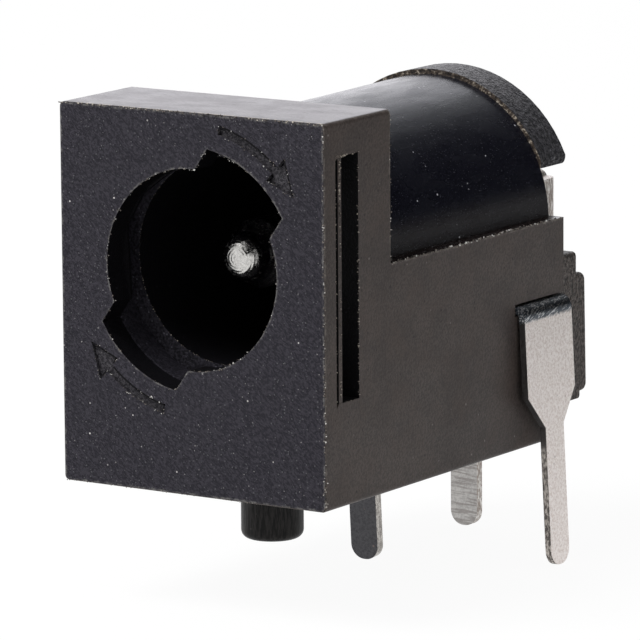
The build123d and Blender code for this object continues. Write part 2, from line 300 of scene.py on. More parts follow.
class Coat:
    """One material and its nodes. Its lengths are in millimetres along the part's own axes."""

    def __init__(self, name):
        self.material = bpy.data.materials.new(name)
        self.material.use_nodes = True
        self.nodes = self.material.node_tree.nodes
        self.links = self.material.node_tree.links
        self.shader = self.nodes["Principled BSDF"]
        source = self.nodes.new("ShaderNodeTexCoord")
        scaled = self.nodes.new("ShaderNodeVectorMath")
        scaled.operation = "SCALE"
        scaled.inputs["Scale"].default_value = 1 / MM
        self.links.new(source.outputs["Object"], scaled.inputs[0])
        self.place = scaled.outputs[0]
        self.x, self.y, self.z = self.split(self.place)
        self.facing = self.split(source.outputs["Normal"])

    def split(self, vector):
        """The three numbers of a vector."""
        node = self.nodes.new("ShaderNodeSeparateXYZ")
        self.links.new(vector, node.inputs[0])
        return node.outputs

    def feed(self, socket, value):
        """Gives a socket a number, a colour or another node's output."""
        if isinstance(value, bpy.types.NodeSocket):
            self.links.new(value, socket)
        elif isinstance(value, tuple) and len(value) == 3 and len(socket.default_value) == 4:
            socket.default_value = (*value, 1)
        else:
            socket.default_value = value

    def math(self, operation, *values):
        """One math node's result."""
        node = self.nodes.new("ShaderNodeMath")
        node.operation = operation
        for socket, value in zip(node.inputs, values):
            self.feed(socket, value)
        return node.outputs[0]

    def add(self, first, second):
        """Sum of two numbers."""
        return self.math("ADD", first, second)

    def subtract(self, first, second):
        """The first number less the second."""
        return self.math("SUBTRACT", first, second)

    def scale(self, value, factor):
        """A number times a factor."""
        return self.math("MULTIPLY", value, factor)

    def least(self, values):
        """The smallest of several numbers."""
        result = values[0]
        for value in values[1:]:
            result = self.math("MINIMUM", result, value)
        return result

    def ramp(self, value, low, high, start=0.0, end=1.0):
        """Smooth step from start at the low value to end at the high value."""
        node = self.nodes.new("ShaderNodeMapRange")
        node.interpolation_type = "SMOOTHSTEP"
        for socket, number in zip(node.inputs[:5], (value, low, high, start, end)):
            self.feed(socket, number)
        return node.outputs[0]

    def follow(self, noise, start=0.0, end=1.0):
        """Number from start to end that follows a noise over its usual range."""
        return self.ramp(noise, NOISE_LOW, NOISE_HIGH, start, end)

    def mapped(self, turn, stretch):
        """The place turned by three angles in degrees and then divided by three lengths."""
        node = self.nodes.new("ShaderNodeMapping")
        node.vector_type = "TEXTURE"
        self.links.new(self.place, node.inputs["Vector"])
        node.inputs["Rotation"].default_value = [math.radians(angle) for angle in turn]
        node.inputs["Scale"].default_value = stretch
        return node.outputs[0]

    def noise(self, size, detail, turn=(0, 0, 0), stretch=(1, 1, 1), roughness=0.5):
        """Noise from 0 to 1 with lumps of this size, stretched along the turned axes."""
        node = self.nodes.new("ShaderNodeTexNoise")
        lengths = [size * part for part in stretch]
        self.links.new(self.mapped(turn, lengths), node.inputs["Vector"])
        node.inputs["Scale"].default_value = 1
        node.inputs["Detail"].default_value = detail
        node.inputs["Roughness"].default_value = roughness
        return node.outputs[0]

    def specks(self, spacing, radius, share):
        """Mask of scattered dots of this radius, on a share of points that are this far apart."""
        node = self.nodes.new("ShaderNodeTexVoronoi")
        self.links.new(self.mapped((0, 0, 0), [spacing] * 3), node.inputs["Vector"])
        node.inputs["Scale"].default_value = 1
        pick = self.split(node.outputs["Color"])
        largest = radius / spacing
        past_rim = self.subtract(node.outputs["Distance"], self.scale(pick[1], largest))
        dot = self.ramp(past_rim, 0.0, largest * SPECK_RIM, 1.0, 0.0)
        return self.math("MULTIPLY", dot, self.math("LESS_THAN", pick[0], share))

    def edge(self, first, at_first, second, at_second):
        """Distance to a straight edge that runs along the third axis."""
        one = self.subtract(first, at_first)
        two = self.subtract(second, at_second)
        squares = self.add(self.math("MULTIPLY", one, one), self.math("MULTIPLY", two, two))
        return self.math("SQRT", squares)

    def beyond(self, limit, value):
        """How far a value is below its limit, or nothing where it is above."""
        return self.math("MAXIMUM", self.subtract(limit, value), 0.0)

    def ragged(self, distance, lump, reach, low, high):
        """Mask of a strip along an edge, which rags of this size widen by up to the reach."""
        rag = self.noise(lump, 3, roughness=0.7)
        return self.ramp(self.subtract(distance, self.scale(rag, reach)), low, high, 1.0, 0.0)

    def patches(self, size):
        """Mask of scattered patches of this size, faint between them."""
        return self.ramp(self.noise(size, 2), 0.42, 0.6, 0.1, 1.0)

    def mix(self, share, first, second):
        """Colour between two colours."""
        node = self.nodes.new("ShaderNodeMix")
        node.data_type = "RGBA"
        self.feed(node.inputs["Factor"], share)
        self.feed(node.inputs[MIX_FIRST], first)
        self.feed(node.inputs[MIX_SECOND], second)
        return node.outputs[MIX_RESULT]

    def lay(self, under, mask, strength, paint):
        """A colour with a paint over it where the mask is 1, at this strength."""
        return self.mix(self.scale(mask, strength), under, paint)

    def bump(self, height, depth, under=None):
        """Surface normal for a height from 0 to 1 that stands for this depth, over another one."""
        node = self.nodes.new("ShaderNodeBump")
        node.inputs["Distance"].default_value = depth * MM
        self.feed(node.inputs["Height"], height)
        if under is not None:
            self.links.new(under, node.inputs["Normal"])
        return node.outputs[0]

    def finish(self, colour, roughness, normal=None, **fixed):
        """Connects the shader and returns the material; fixed sockets get plain numbers."""
        self.feed(self.shader.inputs["Base Color"], colour)
        self.feed(self.shader.inputs["Roughness"], roughness)
        if normal is not None:
            self.links.new(normal, self.shader.inputs["Normal"])
        for name, value in fixed.items():
            self.shader.inputs[name.replace("_", " ")].default_value = value
        return self.material


def mouth_distance(coat):
    """Distance in the face's plane from the mouth's outline, below zero inside it."""
    radius = coat.edge(coat.x, 0.0, coat.z, AXIS)
    upward = coat.scale(coat.subtract(coat.z, AXIS), math.cos(NOTCH_ANGLE))
    sideways = coat.scale(coat.x, math.sin(NOTCH_ANGLE))
    side = coat.math("ABSOLUTE", coat.subtract(upward, sideways))
    past_end = coat.subtract(radius, NOTCH_REACH)
    notch = coat.math("MAXIMUM", past_end, coat.subtract(side, NOTCH_HALF))
    return coat.math("MINIMUM", coat.subtract(radius, MOUTH_RADIUS), notch)


def face_coat():
    """Spark-eroded front face: fine diagonal grain, pale specks and worn edges."""
    hollow, crest = (0.0135, 0.0125, 0.0178), (0.034, 0.0315, 0.0402)
    haze, wear = (0.026, 0.025, 0.029), (0.15, 0.145, 0.14)
    grey, pale, white = (0.12, 0.12, 0.13), (0.28, 0.27, 0.27), (0.52, 0.5, 0.49)
    beside_mouth = 0.04
    coat = Coat("plastic_face")
    grain = coat.noise(0.06, 2, turn=(0, 40, 0), stretch=(1.7, 1, 0.85), roughness=0.7)
    blotch = coat.noise(1.3, 2)
    # Grey specks on the grain's facets: painted glints, which the bump also raises
    painted_glints = coat.specks(0.12, 0.026, 0.45)
    some = coat.ramp(coat.noise(1.6, 1), 0.35, 0.6, 0.4, 1.0)
    small = coat.scale(coat.specks(0.17, 0.02, 0.35), some)
    few = coat.ramp(coat.noise(0.9, 1), 0.46, 0.6, 0.08, 1.0)
    bright = coat.scale(coat.specks(0.3, 0.027, 0.28), few)
    edge = coat.least([
        coat.subtract(FACE_HALF, coat.math("ABSOLUTE", coat.x)),
        coat.subtract(FACE_TOP, coat.z),
        coat.z,
        coat.add(mouth_distance(coat), beside_mouth),
    ])
    worn = coat.scale(coat.ragged(edge, 0.09, 0.14, -0.02, 0.03), coat.patches(0.22))
    colour = coat.mix(coat.ramp(grain, 0.42, 0.6), hollow, crest)
    colour = coat.lay(colour, blotch, 0.25, haze)
    colour = coat.lay(colour, painted_glints, 0.55, grey)
    colour = coat.lay(colour, small, 0.8, pale)
    colour = coat.lay(colour, bright, 0.9, white)
    colour = coat.lay(colour, worn, 0.6, wear)
    normal = coat.bump(coat.add(grain, coat.scale(painted_glints, 0.6)), 0.05)
    return coat.finish(colour, coat.follow(grain, 0.5, 0.62), normal, Specular_IOR_Level=0.1)


def arrow_coat():
    """Rougher floor of the sunk arrows."""
    hollow, crest, pale = (0.018, 0.017, 0.0205), (0.055, 0.052, 0.058), (0.17, 0.16, 0.155)
    coat = Coat("plastic_arrow")
    grain = coat.noise(0.09, 3, roughness=0.7)
    colour = coat.mix(coat.ramp(grain, 0.42, 0.6), hollow, crest)
    colour = coat.lay(colour, coat.specks(0.13, 0.035, 0.45), 0.55, pale)
    return coat.finish(colour, 0.6, coat.bump(grain, 0.05), Specular_IOR_Level=0.12)


def side_coat():
    """Smoother sides, painted lighter than the face as painted light on the right side, with light and
    dark specks, faint scratches and worn edges.
    """
    # Colours about twice as light as the face's: painted light for the light that falls on the right
    # side
    hollow, crest = (0.0335, 0.0268, 0.0243), (0.065, 0.052, 0.047)
    grey_tone, brown_tone = (0.042, 0.035, 0.033), (0.057, 0.0445, 0.0392)
    pale, black = (0.25, 0.235, 0.22), (0.008, 0.007, 0.007)
    scored, wear = (0.09, 0.085, 0.08), (0.17, 0.155, 0.14)
    coat = Coat("plastic_side")
    grain = coat.noise(0.08, 3, roughness=0.6)
    cloud = coat.noise(0.8, 3, stretch=(1, 1.6, 1))
    scratch = coat.ramp(coat.noise(0.05, 1, turn=(35, 0, 20), stretch=(1, 18, 1)), 0.68, 0.75)
    flange_edge = coat.edge(coat.x, FACE_HALF, coat.y, FLANGE_REAR)
    block_edge = coat.edge(coat.x, FACE_HALF, coat.z, BLOCK_TOP)
    edges = coat.least([
        coat.edge(coat.y, FACE_FRONT, coat.z, FACE_TOP),
        coat.edge(coat.x, FACE_HALF, coat.y, FACE_FRONT),
        coat.add(flange_edge, coat.beyond(BLOCK_TOP, coat.z)),
        coat.add(block_edge, coat.beyond(FLANGE_REAR, coat.y)),
        coat.edge(coat.x, FACE_HALF, coat.z, 0.0),
        coat.edge(coat.y, FLANGE_REAR, coat.z, FACE_TOP),
        coat.edge(coat.x, FACE_HALF, coat.z, FACE_TOP),
    ])
    worn = coat.scale(coat.ragged(edges, 0.08, 0.1, -0.02, 0.025), coat.patches(0.25))
    colour = coat.mix(coat.ramp(grain, 0.38, 0.62), hollow, crest)
    shade = coat.ramp(coat.noise(1.5, 3, roughness=0.6), 0.4, 0.6)
    colour = coat.mix(coat.follow(cloud, 0.3, 0.6), colour, coat.mix(shade, grey_tone, brown_tone))
    colour = coat.lay(colour, coat.specks(0.34, 0.03, 0.2), 0.45, pale)
    colour = coat.lay(colour, coat.specks(0.3, 0.035, 0.3), 0.6, black)
    colour = coat.lay(colour, scratch, 0.15, scored)
    colour = coat.lay(colour, worn, 0.5, wear)
    roughness = coat.follow(cloud, 0.36, 0.46)
    return coat.finish(colour, roughness, coat.bump(grain, 0.012), Specular_IOR_Level=0.16)


def top_coat():
    """Top of the flange: smoother, with smudges, fine handling marks and a torn front edge."""
    hollow, crest = (0.027, 0.0245, 0.029), (0.052, 0.048, 0.055)
    pale, scored = (0.25, 0.24, 0.23), (0.1, 0.1, 0.1)
    torn_dark, torn_pale = (0.01, 0.008, 0.007), (0.3, 0.26, 0.2)
    violet_tint = (1.0, 0.95, 1.0, 1.0)
    coat = Coat("plastic_top")
    grain = coat.noise(0.08, 3, roughness=0.6)
    smudge = coat.noise(0.7, 4, stretch=(1.6, 1, 1), roughness=0.6)
    scratch = coat.ramp(coat.noise(0.05, 1, turn=(0, 0, 55), stretch=(1, 16, 1)), 0.64, 0.72)
    front = coat.edge(coat.y, FACE_FRONT, coat.z, FACE_TOP)
    torn = coat.ragged(front, 0.08, 0.24, -0.03, 0.02)
    crumb = coat.ramp(coat.noise(0.14, 2, roughness=0.7), 0.42, 0.55)
    colour = coat.mix(coat.ramp(grain, 0.38, 0.62), hollow, crest)
    colour = coat.lay(colour, coat.specks(0.3, 0.03, 0.25), 0.5, pale)
    colour = coat.lay(colour, scratch, 0.2, scored)
    colour = coat.mix(torn, colour, coat.mix(crumb, torn_dark, torn_pale))
    roughness = coat.add(coat.ramp(smudge, 0.35, 0.65, 0.31, 0.37), coat.scale(scratch, 0.08))
    return coat.finish(
        colour, roughness, coat.bump(grain, 0.006), Specular_IOR_Level=0.5, Specular_Tint=violet_tint
    )


def gloss_coat():
    """Polished barrel with a painted brown reflection of the block at its foot, soft ripples, fine
    scratches and a few pale specks.
    """
    dark, light = (0.003, 0.003, 0.0055), (0.009, 0.009, 0.014)
    foot_painted_reflection, pale, scored = (0.017, 0.012, 0.009), (0.5, 0.5, 0.54), (0.12, 0.12, 0.14)
    foot_low, foot_high = BLOCK_TOP + 0.4, BLOCK_TOP + 1.1
    blue_tint = (0.6, 0.78, 1.0, 1.0)
    coat = Coat("plastic_gloss")
    ripple = coat.noise(0.5, 2, stretch=(1, 3.5, 1))
    grain = coat.noise(0.06, 2, roughness=0.6)
    scratch = coat.ramp(coat.noise(0.04, 1, turn=(10, 20, -25), stretch=(1, 26, 1)), 0.66, 0.74)
    colour = coat.mix(coat.follow(grain), dark, light)
    # Brown towards the foot: painted reflection of the block below the barrel
    colour = coat.mix(coat.ramp(coat.z, foot_high, foot_low, 0.0, 0.6), colour, foot_painted_reflection)
    colour = coat.lay(colour, coat.specks(0.36, 0.026, 0.4), 0.85, pale)
    colour = coat.lay(colour, scratch, 0.22, scored)
    roughness = coat.add(coat.follow(ripple, 0.2, 0.3), coat.scale(scratch, 0.12))
    normal = coat.bump(grain, 0.005, coat.bump(ripple, 0.012))
    return coat.finish(
        colour, roughness, normal, Specular_IOR_Level=0.2, Specular_Tint=blue_tint
    )


def hood_coat():
    """Blue-black rear hood, eroded with round pits and pale specks."""
    hollow, crest, pale = (0.005, 0.005, 0.0075), (0.03, 0.029, 0.035), (0.15, 0.15, 0.165)
    coat = Coat("plastic_hood")
    pits = coat.noise(0.11, 2, roughness=0.55)
    colour = coat.mix(coat.ramp(pits, 0.42, 0.58), hollow, crest)
    colour = coat.lay(colour, coat.specks(0.14, 0.036, 0.45), 0.5, pale)
    normal = coat.bump(coat.add(pits, coat.scale(coat.noise(0.04, 2), 0.2)), 0.09)
    return coat.finish(colour, coat.follow(pits, 0.5, 0.36), normal, Specular_IOR_Level=0.22)


def parting_coat():
    """Torn step between the barrel and the hood: dark brown with beige crumbs."""
    dark, brown, beige = (0.012, 0.009, 0.008), (0.06, 0.045, 0.034), (0.32, 0.28, 0.23)
    coat = Coat("plastic_parting")
    crumb = coat.noise(0.1, 3, roughness=0.7)
    colour = coat.mix(coat.ramp(crumb, 0.42, 0.52), dark, brown)
    colour = coat.mix(coat.ramp(crumb, 0.56, 0.62), colour, beige)
    return coat.finish(colour, 0.55, coat.bump(crumb, 0.04), Specular_IOR_Level=0.25)


def boss_coat():
    """Brown, leathery rear boss with deep fine pits."""
    hollow, crest, pale = (0.017, 0.0125, 0.0105), (0.078, 0.062, 0.055), (0.2, 0.175, 0.155)
    coat = Coat("plastic_boss")
    pits = coat.noise(0.1, 3, stretch=(1, 1, 1.3), roughness=0.6)
    colour = coat.mix(coat.ramp(pits, 0.42, 0.58), hollow, crest)
    colour = coat.lay(colour, coat.specks(0.13, 0.03, 0.4), 0.4, pale)
    roughness = coat.follow(pits, 0.5, 0.36)
    return coat.finish(colour, roughness, coat.bump(pits, 0.1), Specular_IOR_Level=0.22)


def dark_coat():
    """Inside of the mouth and bore: painted near black as painted shade in these hollows, with faint
    painted glints.
    """
    hollow, crest, pale = (0.002, 0.0019, 0.0026), (0.006, 0.0056, 0.007), (0.09, 0.09, 0.1)
    coat = Coat("plastic_inside_painted_shade")
    grain = coat.noise(0.06, 3, roughness=0.65)
    colour = coat.mix(coat.follow(grain), hollow, crest)
    colour = coat.lay(colour, coat.specks(0.2, 0.03, 0.2), 0.25, pale)
    return coat.finish(colour, 0.5, coat.bump(grain, 0.02), Specular_IOR_Level=0.08)


def cavity_coat():
    """Lock cavity: a fine grain with painted glints and a faint violet tint, painted near black towards
    the slot as painted shade.
    """
    hollow, crest, pale = (0.006, 0.0055, 0.0078), (0.028, 0.026, 0.034), (0.11, 0.107, 0.13)
    slot_painted_shade, slot_pale = (0.0025, 0.0023, 0.003), (0.08, 0.078, 0.09)
    slot_start, slot_full = 2.9, 3.6
    coat = Coat("plastic_cavity")
    grain = coat.noise(0.08, 3, roughness=0.65)
    # Grey specks on the grain's facets: painted glints
    painted_glints = coat.specks(0.13, 0.03, 0.35)
    # Near black towards the slot: painted shade inside the slot
    towards_slot = coat.ramp(coat.x, slot_start, slot_full)
    colour = coat.mix(coat.ramp(grain, 0.38, 0.62), hollow, crest)
    colour = coat.lay(colour, painted_glints, 0.6, pale)
    colour = coat.mix(towards_slot, colour, coat.lay(slot_painted_shade, painted_glints, 0.1, slot_pale))
    return coat.finish(colour, 0.5, coat.bump(grain, 0.04), Specular_IOR_Level=0.15)


def peg_coat():
    """Smooth peg, painted darker than the sides as painted shade under the body, with moulding streaks
    down its length.
    """
    dark, light, pale = (0.002, 0.0018, 0.0018), (0.019, 0.017, 0.0165), (0.09, 0.083, 0.08)
    coat = Coat("plastic_peg")
    streak = coat.noise(0.09, 2, stretch=(1, 1, 6), roughness=0.7)
    colour = coat.mix(coat.ramp(streak, 0.4, 0.62), dark, light)
    colour = coat.lay(colour, coat.specks(0.2, 0.03, 0.3), 0.4, pale)
    roughness = coat.follow(coat.noise(0.05, 2), 0.36, 0.46)
    return coat.finish(colour, roughness, coat.bump(streak, 0.012), Specular_IOR_Level=0.15)


def pin_coat():
    """Turned and plated pin: fine rings round its axis, scuffs and small dark pits."""
    dull, bright, dark = (0.5, 0.49, 0.475), (0.68, 0.67, 0.65), (0.12, 0.11, 0.1)
    coat = Coat("plated_pin")
    rings = coat.nodes.new("ShaderNodeTexWave")
    rings.wave_type = "RINGS"
    rings.rings_direction = "Y"
    shift = coat.nodes.new("ShaderNodeMapping")
    coat.links.new(coat.place, shift.inputs["Vector"])
    shift.inputs["Location"].default_value = (0, 0, -AXIS)
    coat.links.new(shift.outputs[0], rings.inputs["Vector"])
    rings.inputs["Scale"].default_value = RING_SCALE
    rings.inputs["Distortion"].default_value = RING_WARP
    grain = coat.noise(0.05, 2, roughness=0.6)
    scuff = coat.ramp(coat.noise(0.16, 3, roughness=0.7), 0.5, 0.62)
    colour = coat.mix(coat.ramp(grain, 0.35, 0.7), dull, bright)
    colour = coat.lay(colour, coat.specks(0.12, 0.02, 0.25), 0.6, dark)
    roughness = coat.add(coat.follow(grain, 0.1, 0.2), coat.scale(scuff, 0.22))
    normal = coat.bump(coat.add(rings.outputs["Fac"], coat.scale(grain, 1.2)), 0.0035)
    return coat.finish(colour, roughness, normal, Metallic=1.0)


def tin_coat(name, pale, dull, roughness, sheet_axis, torn, fold=None, inner=None, comb=0.0):
    """Matte tin-plated sheet that looks along one axis, with torn sheared edges in two colours.

    With a fold, its sheared edges above the board are painted dark, a painted shadow, and above the
    fold's height it is burnished smoother and painted as a dark reflection with pale scratches and
    specks. It has the inner colour inside the housing. The comb is the strength of fine level marks on
    the leg.
    """
    inside_start, inside_full = 2.0, 2.6
    board_low, board_high = -0.25, 0.15
    comb_full, comb_start = -0.1, 0.6
    brown, comb_dark, edge_painted_shadow = (0.22, 0.17, 0.15), (0.2, 0.18, 0.17), (0.02, 0.019, 0.02)
    fold_painted_reflection, fold_bright = (0.09, 0.105, 0.125), (0.85, 0.86, 0.87)
    cloudy = tuple(0.92 * part for part in pale)
    scored = tuple(min(1.0, 1.25 * part) for part in pale)
    coat = Coat(name)
    grain = coat.noise(0.08, 3, roughness=0.7)
    streaks = coat.noise(0.035, 1, turn=(25, 10, 15), stretch=(1, 1, 22))
    scratch = coat.ramp(streaks, 0.66, 0.76)
    sheared = coat.ramp(coat.math("ABSOLUTE", coat.facing[sheet_axis]), 0.3, 0.6, 1.0, 0.0)
    tear = coat.noise(0.07, 3, stretch=(1, 1, 2.6), roughness=0.7)
    colour = coat.mix(coat.ramp(grain, 0.36, 0.62), dull, pale)
    colour = coat.lay(colour, coat.noise(0.7, 3), 0.3, cloudy)
    colour = coat.lay(colour, coat.specks(0.26, 0.034, 0.3), 0.5, brown)
    colour = coat.lay(colour, scratch, 0.3, scored)
    if inner is not None:
        colour = coat.mix(coat.ramp(coat.z, inside_start, inside_full), colour, inner)
    shear = coat.mix(coat.ramp(tear, 0.44, 0.6), *torn)
    # The sheared edges above the board are painted dark: painted shadow in the gap beside the housing
    if fold is not None:
        shear = coat.mix(coat.ramp(coat.z, board_low, board_high), shear, edge_painted_shadow)
    if comb:
        level_marks = coat.noise(0.045, 1, turn=(0, 3, 0), stretch=(16, 16, 1))
        on_leg = coat.ramp(coat.z, comb_start, comb_full, 0.0, comb)
        combed = coat.math("MULTIPLY", coat.ramp(level_marks, 0.46, 0.62), on_leg)
        colour = coat.mix(combed, colour, comb_dark)
    colour = coat.lay(colour, sheared, 0.92, shear)
    rough = coat.follow(grain, roughness - 0.05, roughness + 0.05)
    rough = coat.add(rough, coat.scale(scratch, -0.08))
    # Above the fold's height: burnished smoother, and painted as a dark reflection with pale scratches
    # and specks
    if fold is not None:
        rag = coat.scale(coat.noise(0.12, 3, roughness=0.7), 0.2)
        burnish_and_painted_reflection = coat.ramp(coat.add(coat.z, rag), fold - 0.04, fold + 0.08)
        creases = coat.noise(0.045, 2, turn=(20, 0, 0), stretch=(1, 7, 1), roughness=0.7)
        crease = coat.scale(coat.ramp(creases, 0.53, 0.61), 0.8)
        worn = coat.math("MAXIMUM", crease, coat.scale(coat.specks(0.1, 0.03, 0.45), 0.9))
        colour = coat.mix(burnish_and_painted_reflection, colour, coat.mix(worn, fold_painted_reflection, fold_bright))
        rough = coat.subtract(rough, coat.scale(burnish_and_painted_reflection, 0.16))
    torn_height = coat.scale(coat.math("MULTIPLY", tear, sheared), 2.0)
    normal = coat.bump(coat.add(coat.scale(grain, 0.4), torn_height), 0.02)
    return coat.finish(colour, rough, normal, Metallic=1.0)


def burr_coat(name, pale):
    """Torn grains of plastic on the edges: mostly pale, some brown and black."""
    black, brown = (0.012, 0.009, 0.008), (0.12, 0.1, 0.085)
    coat = Coat(name)
    shade = coat.noise(0.16, 2, roughness=0.7)
    colour = coat.mix(coat.ramp(shade, 0.38, 0.48), black, brown)
    colour = coat.mix(coat.ramp(shade, 0.5, 0.62), colour, pale)
    return coat.finish(colour, 0.55, Specular_IOR_Level=0.4)


def round_point(radius, angle):
    """Point across the face at a radius and an angle from +X."""
    return radius * math.cos(angle), AXIS + radius * math.sin(angle)


def arrow_outline(turned):
    """Outline of one curved arrow that points clockwise, turned by an angle."""
    def arc(radius, start, end):
        steps = [start + (end - start) * step / ARROW_STEPS for step in range(ARROW_STEPS + 1)]
        return [round_point(radius, angle + turned) for angle in steps]
    return (
        arc(ARROW_OUTER, ARROW_START, ARROW_NECK)
        + [round_point(ARROW_BARB_OUTER, ARROW_NECK + turned)]
        + [round_point(ARROW_POINT, ARROW_TIP + turned)]
        + [round_point(ARROW_BARB_INNER, ARROW_NECK + turned)]
        + arc(ARROW_INNER, ARROW_NECK, ARROW_START)
    )


def shadow_sliver_outlines(turned):
    """Narrow strips just inside the arrow's edges that look up or right, each as a list of points."""
    outline = [Vector(point) for point in arrow_outline(turned)]
    runs = []
    way = None
    for start, end in zip(outline, outline[1:] + outline[:1]):
        ahead = (end - start).normalized()
        if Vector((-ahead.y, ahead.x)).dot(SHADOW_SLIVER_SIDE) < SHADOW_SLIVER_LEAST:
            continue
        if runs and runs[-1][-1] == start and ahead.dot(way) > SHADOW_SLIVER_STRAIGHT:
            runs[-1].append(end)
        else:
            runs.append([start, end])
        way = ahead
    strips = []
    for run in runs:
        ahead = (run[1] - run[0]).normalized()
        behind = (run[-1] - run[-2]).normalized()
        line = [run[0] + ahead * SHADOW_SLIVER_WIDTH] + run[1:-1] + [run[-1] - behind * SHADOW_SLIVER_WIDTH]
        inner = []
        for index, point in enumerate(line):
            before, after = line[max(index - 1, 0)], line[min(index + 1, len(line) - 1)]
            chord = (after - before).normalized()
            inner.append(point + Vector((chord.y, -chord.x)) * SHADOW_SLIVER_WIDTH)
        strips.append(line + inner[::-1])
    return strips


def across_face(point, depth):
    """Place in metres of a point across the face, at a depth."""
    return Vector((point[0], depth, point[1])) * MM


def across_side(point, across):
    """Place in metres of a point on the right side, given by depth and height, at a distance across."""
    return Vector((across, *point)) * MM


def prism(mesh, outline, start, end, place):
    """Adds a closed prism over an outline, from start to end; place turns a point into metres."""
    low = [mesh.verts.new(place(point, start)) for point in outline]
    high = [mesh.verts.new(place(point, end)) for point in outline]
    mesh.faces.new(low)
    mesh.faces.new(list(reversed(high)))
    for index in range(len(outline)):
        after = (index + 1) % len(outline)
        mesh.faces.new((low[after], low[index], high[index], high[after]))


def mesh_data(name, mesh):
    """Mesh data from a bmesh, which is freed."""
    data = bpy.data.meshes.new(name)
    mesh.to_mesh(data)
    mesh.free()
    return data


def add_cutter():
    """Closed shapes to cut out of the housing: the arrows in the face and the groove in the side."""
    mesh = bmesh.new()
    for turned in ARROW_TURNS:
        outline = arrow_outline(turned)
        prism(mesh, outline, FACE_FRONT - CUTTER_OVERHANG, FACE_FRONT + ARROW_DEPTH, across_face)
    groove_ends = FACE_HALF - GROOVE_DEPTH, FACE_HALF + CUTTER_OVERHANG
    prism(mesh, GROOVE_OUTLINE, *groove_ends, across_side)
    bmesh.ops.recalc_face_normals(mesh, faces=mesh.faces)
    return add_object("cutter", mesh_data("cutter", mesh))


def region(centre, normal):
    """Name of the finish for a face of the housing, from its centre in millimetres and its normal."""
    radius = math.hypot(centre.x, centre.z - AXIS)
    inboard = abs(centre.x) <= FACE_HALF - NEAR
    looks_front = normal.y < -SQUARE
    level = normal.z > LEVEL
    along_barrel = FLANGE_REAR < centre.y < BARREL_END
    in_arrow = ARROW_BARB_INNER - MARGIN < radius < ARROW_BARB_OUTER + MARGIN
    in_slot = SLOT_LOW - MARGIN < centre.z < SLOT_HIGH + MARGIN
    over_block = centre.z > BLOCK_TOP - WIDE and not (centre.z < BLOCK_TOP + STEP and level)
    if centre.z < -HAIR:
        return "peg"
    if looks_front and centre.y < FACE_FRONT + NEAR:
        return "face"
    if inboard and in_arrow and centre.y < FACE_FRONT + ARROW_DEPTH + NEAR:
        return "arrow"
    if inboard and radius < NOTCH_REACH + MARGIN and centre.y < SLOT_FRONT - NEAR:
        return "inside"
    if inboard and in_slot and centre.y < SLOT_REAR + NEAR:
        return "cavity"
    if radius < MOUTH_RADIUS + WIDE and centre.y < BORE_END:
        return "inside"
    if normal.z > SQUARE and centre.z > FACE_TOP - NEAR:
        return "top"
    if looks_front and abs(centre.y - BARREL_END) < NEAR and radius > BARREL_RADIUS - STEP:
        return "parting"
    if over_block and along_barrel and centre.y > FLANGE_REAR + HAIR and radius < BARREL_RADIUS + WIDE:
        return "gloss"
    if level and along_barrel and abs(centre.z - BLOCK_TOP) < NEAR:
        return "gloss"
    if centre.y > BARREL_END - HAIR:
        return "hood" if centre.z > BLOCK_TOP - STEP else "boss"
    return "side"


def welded(source, name):
    """Copy of a CAD node's mesh with its points joined and its stored normals dropped."""
    data = source.data.copy()
    data.name = name
    data.attributes.remove(data.attributes["custom_normal"])
    mesh = bmesh.new()
    mesh.from_mesh(data)
    bmesh.ops.remove_doubles(mesh, verts=mesh.verts, dist=WELD_REACH)
    mesh.to_mesh(data)
    mesh.free()
    return data


def add_pin(coat):
    """The pin with a slightly flattened nose, as a turned and tumbled pin has."""
    data = welded(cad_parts["center_pin"], "pin_skin")
    for vert in data.vertices:
        radius = math.hypot(vert.co.x, vert.co.z - AXIS * MM) / (NOSE_RADIUS * MM)
        if vert.co.y < NOSE_MIDDLE * MM and radius < 1:
            reach = NOSE_RADIUS * (1 - radius ** NOSE_POWER) ** (1 / NOSE_POWER)
            vert.co.y = (NOSE_MIDDLE - reach) * MM
    data.materials.clear()
    data.materials.append(coat)
    for face in data.polygons:
        face.use_smooth = True
    data.set_sharp_from_angle(angle=SHARP_ANGLE)
    pin = add_object("pin_skin", data)
    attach(pin, "root")
    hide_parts("center_pin")


def add_housing(coats):
    """The housing's CAD shape with the arrows and groove cut in, and a finish for each region."""
    skin = add_object("housing_skin", welded(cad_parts["housing"], "housing_skin"))
    tool = add_cutter()
    cut = skin.modifiers.new("cut", "BOOLEAN")
    cut.operation = "DIFFERENCE"
    cut.solver = "EXACT"
    cut.object = tool
    evaluated = skin.evaluated_get(bpy.context.evaluated_depsgraph_get())
    data = bpy.data.meshes.new_from_object(evaluated)
    skin.modifiers.clear()
    bpy.data.objects.remove(tool)
    skin.data = data
    data.name = "housing_skin"
    data.materials.clear()
    for coat in coats.values():
        data.materials.append(coat)
    order = list(coats)
    for face in data.polygons:
        face.material_index = order.index(region(face.center / MM, face.normal))
        face.use_smooth = max(abs(part) for part in face.normal) < FLAT
    data.set_sharp_from_angle(angle=SHARP_ANGLE)
    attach(skin, "root")
    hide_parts("housing")


def add_relief(name, mesh, coat):
    """Adds a bmesh as a piece of relief on the housing, in one finish."""
    data = mesh_data(name, mesh)
    data.materials.append(coat)
    piece = add_object(name, data)
    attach(piece, "root")


def add_shadow_slivers(coat):
    """Dark slivers in the arrows, against the edges that look up or right: a painted shadow of these
    edges.
    """
    mesh = bmesh.new()
    front = FACE_FRONT + SHADOW_SLIVER_LID
    for turned in ARROW_TURNS:
        for strip in shadow_sliver_outlines(turned):
            prism(mesh, strip, front, front + ARROW_DEPTH, across_face)
    bmesh.ops.recalc_face_normals(mesh, faces=mesh.faces)
    add_relief("arrow_painted_shadows", mesh, coat)


